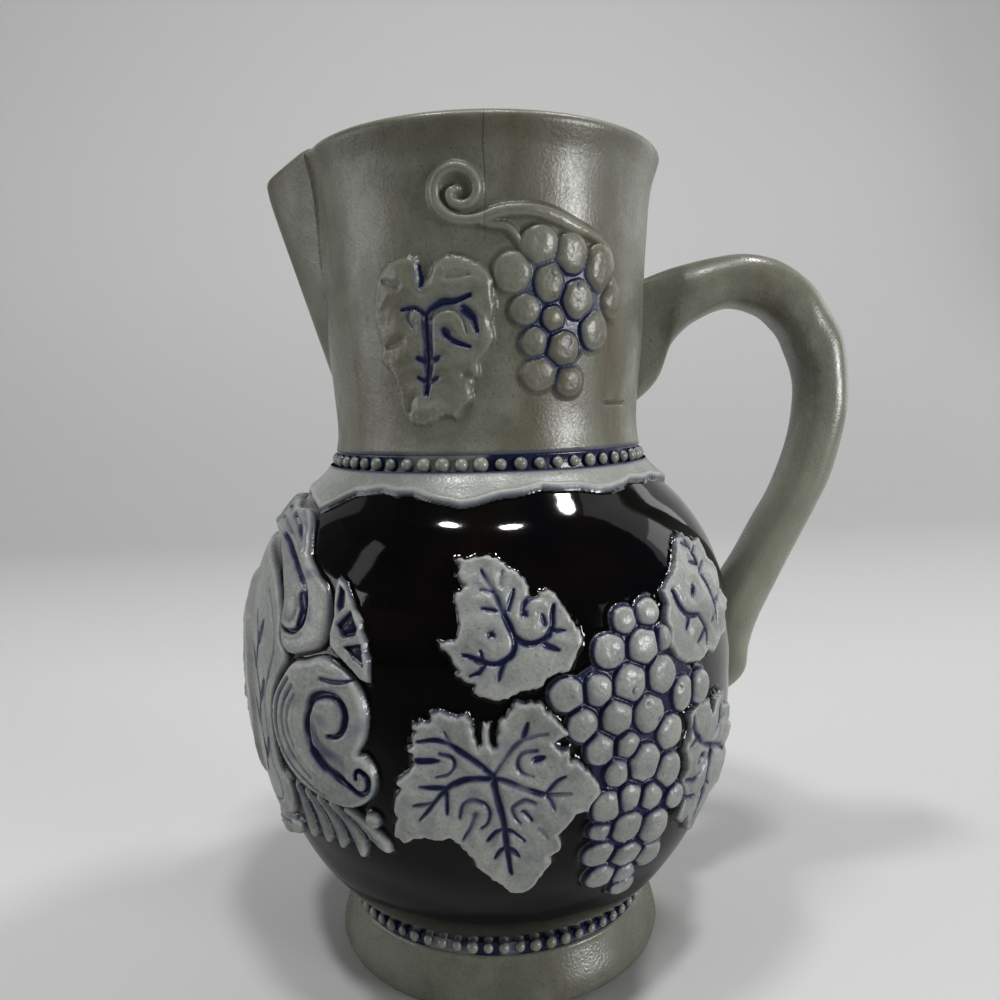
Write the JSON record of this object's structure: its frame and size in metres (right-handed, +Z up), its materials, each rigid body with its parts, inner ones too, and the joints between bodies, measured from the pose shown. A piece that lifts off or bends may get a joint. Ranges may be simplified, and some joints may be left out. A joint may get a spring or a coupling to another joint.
{
  "type": "stoneware pitcher",
  "caption": "Round-bellied stoneware wine pitcher with a straight neck, pinched spout, loop handle, bead bands and raised vine leaves and grapes, for pouring drinks",
  "frame": {"origin": "middle of the flat underside, on the turning axis of the pot", "axes": "+Z up through the mouth, +X towards the handle, -X towards the spout, Y across"},
  "size_m": [0.165, 0.1294, 0.205],
  "materials": {
    "grey_glaze": "grey-green salt glaze, satin, with fine dark specks and faint brown stains",
    "relief_glaze": "grey salt glaze on raised work, satin, with cobalt blue in the grooves",
    "dark_glaze": "brown-black glaze, very glossy",
    "cobalt_band": "grey beads in a cobalt blue ground, glossy"
  },
  "bodies": {
    "root": {"base_floor": "grey_glaze", "foot_collar": "grey_glaze", "foot_bead_band": "cobalt_band", "belly_shell": "dark_glaze", "shoulder_skirt": "grey_glaze", "neck_bead_band": "cobalt_band", "neck_wall": "grey_glaze", "rim_lip": "grey_glaze", "spout_fold": "grey_glaze", "handle_strap": "grey_glaze", "belly_bunch_far": "relief_glaze", "belly_bunch_near": "relief_glaze", "frame_crest": "relief_glaze", "frame_drop_far": "relief_glaze", "frame_drop_near": "relief_glaze", "frame_fan_far": "relief_glaze", "frame_fan_near": "relief_glaze", "frame_foot_piece": "relief_glaze", "frame_frond_far": "relief_glaze", "frame_frond_near": "relief_glaze", "frame_panel": "relief_glaze", "frame_scroll_far": "relief_glaze", "frame_scroll_near": "relief_glaze", "frame_volute_far": "relief_glaze", "frame_volute_near": "relief_glaze", "leaf_lower_back_far": "relief_glaze", "leaf_lower_back_near": "relief_glaze", "leaf_lower_front_far": "relief_glaze", "leaf_lower_front_near": "relief_glaze", "leaf_upper_back_far": "relief_glaze", "leaf_upper_back_near": "relief_glaze", "leaf_upper_front_far": "relief_glaze", "leaf_upper_front_near": "relief_glaze", "neck_bunch_far": "grey_glaze", "neck_bunch_near": "grey_glaze", "neck_leaf_far": "grey_glaze", "neck_leaf_near": "grey_glaze", "neck_tendril_far": "grey_glaze", "neck_tendril_near": "grey_glaze"}
  },
  "joints": []
}
